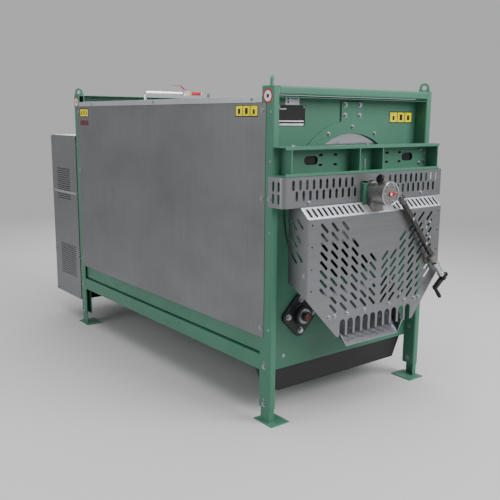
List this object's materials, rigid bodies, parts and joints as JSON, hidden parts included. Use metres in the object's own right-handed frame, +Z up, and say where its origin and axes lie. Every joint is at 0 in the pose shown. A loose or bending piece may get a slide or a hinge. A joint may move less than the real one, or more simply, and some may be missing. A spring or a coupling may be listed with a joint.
{
  "type": "indented cylinder grain separator",
  "caption": "Box-framed rotary drum grain separator with a slotted front guard, a crank-tilted catch trough, feet, lifting eyes and a covered rear drive.",
  "frame": {"origin": "on the floor, under the middle of the machine's bounding box", "axes": "+X to the right seen from the front, +Y along the drum from the front (crank and discharge end) to the rear drive, +Z up"},
  "size_m": [1.138, 2.813, 1.673],
  "materials": {
    "green_paint": "satin paint over folded steel",
    "sheet_steel": "galvanised sheet, faintly brushed",
    "dark_sheet": "dark oiled sheet",
    "bright_steel": "bright, machined",
    "cast_alloy": "cast, matt",
    "black_cast": "black enamel",
    "black_plastic": "moulded",
    "red_plastic": "moulded",
    "motor_paint": "satin enamel"
  },
  "bodies": {
    "frame": {"post_front_left": "green_paint", "lifting_eye_front_left": "green_paint", "post_front_right": "green_paint", "lifting_eye_front_right": "green_paint", "post_rear_left": "green_paint", "lifting_eye_rear_left": "green_paint", "post_rear_right": "green_paint", "lifting_eye_rear_right": "green_paint", "bottom_rail_left": "green_paint", "bottom_rail_right": "green_paint", "bottom_rail_rear": "green_paint", "top_rail_left": "green_paint", "top_rail_right": "green_paint", "top_rail_front": "green_paint", "top_rail_rear": "green_paint", "front_panel": "green_paint", "seal_ring": "green_paint", "rear_panel": "green_paint", "bottom_pan": "green_paint", "cross_beam": "green_paint", "gearbox_bracket": "green_paint", "side_panel_left": "sheet_steel", "side_panel_right": "sheet_steel", "top_cover": "sheet_steel", "inlet_spout": "sheet_steel", "band_guard": "sheet_steel", "front_guard": "sheet_steel", "drive_cover": "sheet_steel", "bottom_hopper": "dark_sheet", "drive_chain": "dark_sheet", "auger_chain": "dark_sheet", "end_disc": "bright_steel", "outlet_chute": "bright_steel", "air_pipe": "bright_steel", "gearbox_housing": "cast_alloy", "dial_cover": "cast_alloy", "bearing_front_left": "black_cast", "bearing_front_right": "black_cast", "bearing_rear_left": "black_cast", "bearing_rear_right": "black_cast", "rod_bearing": "black_cast", "gearmotor": "motor_paint"},
    "drum": {"drum_shell": "sheet_steel"},
    "roller_left": {"roller_left": "black_cast"},
    "roller_right": {"roller_right": "black_cast"},
    "trough": {"catch_trough": "sheet_steel", "worm_wheel": "bright_steel", "pointer": "red_plastic"},
    "auger": {"auger_shaft": "bright_steel", "auger_flight": "sheet_steel"},
    "worm": {"worm_shaft": "bright_steel"},
    "crank": {"crank_rod": "dark_sheet", "crank_arm": "black_plastic"},
    "grip": {"crank_grip": "black_plastic"},
    "motor_shaft": {"motor_sprockets": "bright_steel"},
    "valve": {"valve_lever": "red_plastic"},
    "foot_front_left": {"foot_front_left": "green_paint"},
    "foot_front_right": {"foot_front_right": "green_paint"},
    "foot_rear_left": {"foot_rear_left": "green_paint"},
    "foot_rear_right": {"foot_rear_right": "green_paint"}
  },
  "joints": [
    {"name": "drum_spin", "type": "hinge", "parent": "frame", "child": "drum", "pos_m": [0.02, -0.1185, 1.015], "axis": [0, 1, 0], "continuous": true},
    {"name": "roller_left_spin", "type": "hinge", "parent": "frame", "child": "roller_left", "pos_m": [-0.312, -0.1185, 0.5029], "axis": [0, 1, 0], "continuous": true},
    {"name": "roller_right_spin", "type": "hinge", "parent": "frame", "child": "roller_right", "pos_m": [0.352, -0.1185, 0.5029], "axis": [0, 1, 0], "continuous": true},
    {"name": "auger_spin", "type": "hinge", "parent": "frame", "child": "auger", "pos_m": [0.02, -0.1185, 1.114], "axis": [0, 1, 0], "continuous": true},
    {"name": "motor_spin", "type": "hinge", "parent": "frame", "child": "motor_shaft", "pos_m": [-0.057, 1.0515, 0.33], "axis": [0, 1, 0], "continuous": true},
    {"name": "trough_tilt", "type": "hinge", "parent": "frame", "child": "trough", "pos_m": [0.02, -1.1985, 1.114], "axis": [0, 1, 0], "range_deg": [-30, 30]},
    {"name": "worm_turn", "type": "hinge", "parent": "frame", "child": "worm", "pos_m": [-0.001, -1.3585, 1.182], "axis": [0.8373, 0, -0.5468], "range_deg": [-900, 900]},
    {"name": "crank_turn", "type": "hinge", "parent": "frame", "child": "crank", "pos_m": [0.146, -1.3585, 1.086], "axis": [0.6134, -0.0365, -0.7889], "range_deg": [-900, 900]},
    {"name": "grip_spin", "type": "hinge", "parent": "crank", "child": "grip", "pos_m": [0.43584, -1.3795, 0.58289], "axis": [0.6134, -0.0365, -0.7889], "continuous": true},
    {"name": "valve_turn", "type": "hinge", "parent": "frame", "child": "valve", "pos_m": [-0.116, 0.2315, 1.64], "axis": [0, 0, 1], "range_deg": [0, 90]},
    {"name": "foot_front_left_height", "type": "slide", "parent": "frame", "child": "foot_front_left", "axis": [0, 0, -1], "range_m": [-0.04, 0.1]},
    {"name": "foot_front_right_height", "type": "slide", "parent": "frame", "child": "foot_front_right", "axis": [0, 0, -1], "range_m": [-0.04, 0.1]},
    {"name": "foot_rear_left_height", "type": "slide", "parent": "frame", "child": "foot_rear_left", "axis": [0, 0, -1], "range_m": [-0.04, 0.1]},
    {"name": "foot_rear_right_height", "type": "slide", "parent": "frame", "child": "foot_rear_right", "axis": [0, 0, -1], "range_m": [-0.04, 0.1]}
  ],
  "couplings": [
    {"joint": "roller_left_spin", "follows": "drum_spin", "ratio": -4.8095},
    {"joint": "roller_right_spin", "follows": "drum_spin", "ratio": -4.8095},
    {"joint": "motor_spin", "follows": "drum_spin", "ratio": -7.2143},
    {"joint": "auger_spin", "follows": "drum_spin", "ratio": -3.2064},
    {"joint": "worm_turn", "follows": "trough_tilt", "ratio": 30},
    {"joint": "crank_turn", "follows": "trough_tilt", "ratio": 30}
  ]
}
